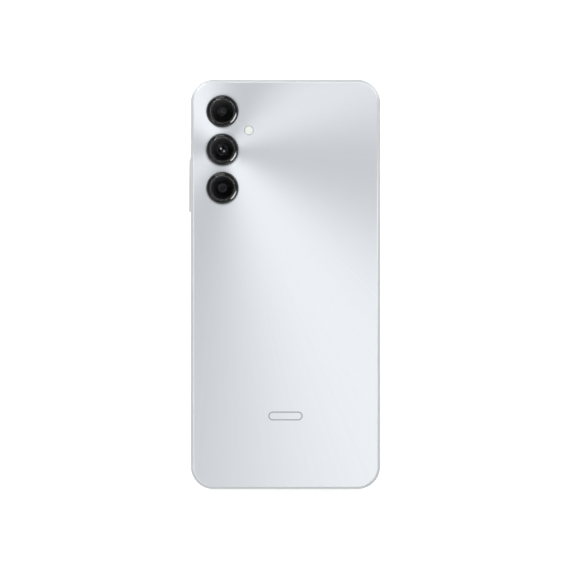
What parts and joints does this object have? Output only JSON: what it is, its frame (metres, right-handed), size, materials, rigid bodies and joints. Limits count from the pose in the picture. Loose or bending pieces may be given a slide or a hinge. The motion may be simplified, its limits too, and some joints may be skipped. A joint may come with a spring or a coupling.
{
  "type": "smartphone",
  "caption": "Slab smartphone lying on its screen: silver brushed rear cover, a column of raised round cameras beside a flash, side keys, card tray, ports and working insides.",
  "frame": {"origin": "middle of the screen's outer face, which the phone lies on", "axes": "+Z points out of the rear cover, +Y runs along the length towards the cameras, and the keys are on the -X side"},
  "size_m": [0.0786, 0.168, 0.0099],
  "materials": {
    "cover_film": "silver circular brushed film under a clear coat",
    "frame_silver": "silver metallic paint, satin",
    "key_silver": "silver metallic paint, satin",
    "sensor_dark": "smooth coated sensor surface",
    "ring_black": "black anodised, polished",
    "lens_glass": "coated cover glass",
    "lens_barrel": "matte black",
    "flash_plastic": "milky clear plastic",
    "led_yellow": "phosphor",
    "front_glass_black": "polished cover glass over black",
    "lcd_black": "smooth dark panel",
    "backlight_white": "white diffuser",
    "mid_plate_metal": "bare rolled sheet",
    "board_green": "solder mask",
    "shield_steel": "tinned sheet",
    "gold_contact": "gold flash",
    "flex_brown": "polyimide film",
    "battery_wrap": "laminated pouch",
    "bracket_plastic": "glass filled plastic",
    "mesh_black": "fine black mesh",
    "rubber_black": "matte",
    "cable_black": "smooth jacket"
  },
  "bodies": {
    "phone": {"front_glass": "front_glass_black", "lcd_cell": "lcd_black", "backlight_unit": "backlight_white", "earpiece_mesh": "mesh_black", "side_frame": "frame_silver", "mid_plate": "mid_plate_metal", "rear_cover": "cover_film", "camera_ring_top": "ring_black", "camera_ring_middle": "ring_black", "camera_ring_bottom": "ring_black", "camera_glass_top": "lens_glass", "camera_glass_middle": "lens_glass", "camera_glass_bottom": "lens_glass", "flash_window": "flash_plastic", "flash_led": "led_yellow", "main_camera_housing": "lens_barrel", "macro_camera": "lens_barrel", "depth_camera": "lens_barrel", "front_camera": "lens_barrel", "side_key_flex": "flex_brown", "power_switch": "shield_steel", "volume_up_switch": "shield_steel", "volume_down_switch": "shield_steel", "sim_reader": "shield_steel", "usb_c_socket": "shield_steel", "usb_c_tongue": "bracket_plastic", "headphone_jack": "bracket_plastic", "loudspeaker_box": "bracket_plastic", "speaker_mesh": "mesh_black", "earpiece_speaker": "bracket_plastic", "bottom_microphone": "gold_contact", "top_microphone": "gold_contact", "vibration_motor_case": "shield_steel", "main_board": "board_green", "soc_shield": "shield_steel", "rf_shield": "shield_steel", "sub_board": "board_green", "battery": "battery_wrap", "battery_flex": "flex_brown", "main_flex": "flex_brown", "antenna_cable": "cable_black", "upper_antenna_bracket": "bracket_plastic", "lower_antenna_bracket": "bracket_plastic", "screw_1": "shield_steel", "screw_2": "shield_steel", "screw_3": "shield_steel", "screw_4": "shield_steel", "screw_5": "shield_steel", "screw_6": "shield_steel", "screw_7": "shield_steel", "screw_8": "shield_steel"},
    "power_button": {"power_key": "key_silver", "fingerprint_sensor": "sensor_dark"},
    "volume_button": {"volume_key": "key_silver"},
    "card_tray": {"sim_tray": "frame_silver", "sim_tray_seal": "rubber_black"},
    "tray_rod": {"eject_rod": "shield_steel"},
    "tray_lever": {"eject_lever": "shield_steel"},
    "focus_lens": {"main_camera_lens": "lens_barrel"},
    "motor_weight": {"vibration_weight": "mid_plate_metal"}
  },
  "joints": [
    {"name": "power_key_press", "type": "slide", "parent": "phone", "child": "power_button", "axis": [1, 0, 0], "range_m": [0, 0.00025], "stiffness_N_per_m": 3000},
    {"name": "volume_key_rock", "type": "hinge", "parent": "phone", "child": "volume_button", "pos_m": [-0.0362, 0.04095, 0.0044], "axis": [0, 0, 1], "range_deg": [-1.2, 1.2], "stiffness_Nm_per_rad": 0.6},
    {"name": "card_tray_slide", "type": "slide", "parent": "phone", "child": "card_tray", "axis": [1, 0, 0], "range_m": [0, 0.0285]},
    {"name": "eject_rod_press", "type": "slide", "parent": "phone", "child": "tray_rod", "axis": [-1, 0, 0], "range_m": [0, 0.0015]},
    {"name": "eject_lever_turn", "type": "hinge", "parent": "phone", "child": "tray_lever", "pos_m": [0.008, 0.0519, 0.0051], "axis": [0, 0, -1], "range_deg": [0, 11.7]},
    {"name": "camera_focus", "type": "slide", "parent": "phone", "child": "focus_lens", "axis": [0, 0, 1], "range_m": [0, 0.0003], "stiffness_N_per_m": 100},
    {"name": "vibration_spin", "type": "hinge", "parent": "phone", "child": "motor_weight", "pos_m": [0.027, -0.0705, 0.0041], "axis": [0, 0, 1], "continuous": true}
  ],
  "couplings": [
    {"joint": "eject_lever_turn", "follows": "eject_rod_press", "rad_per_m": 135.1}
  ]
}
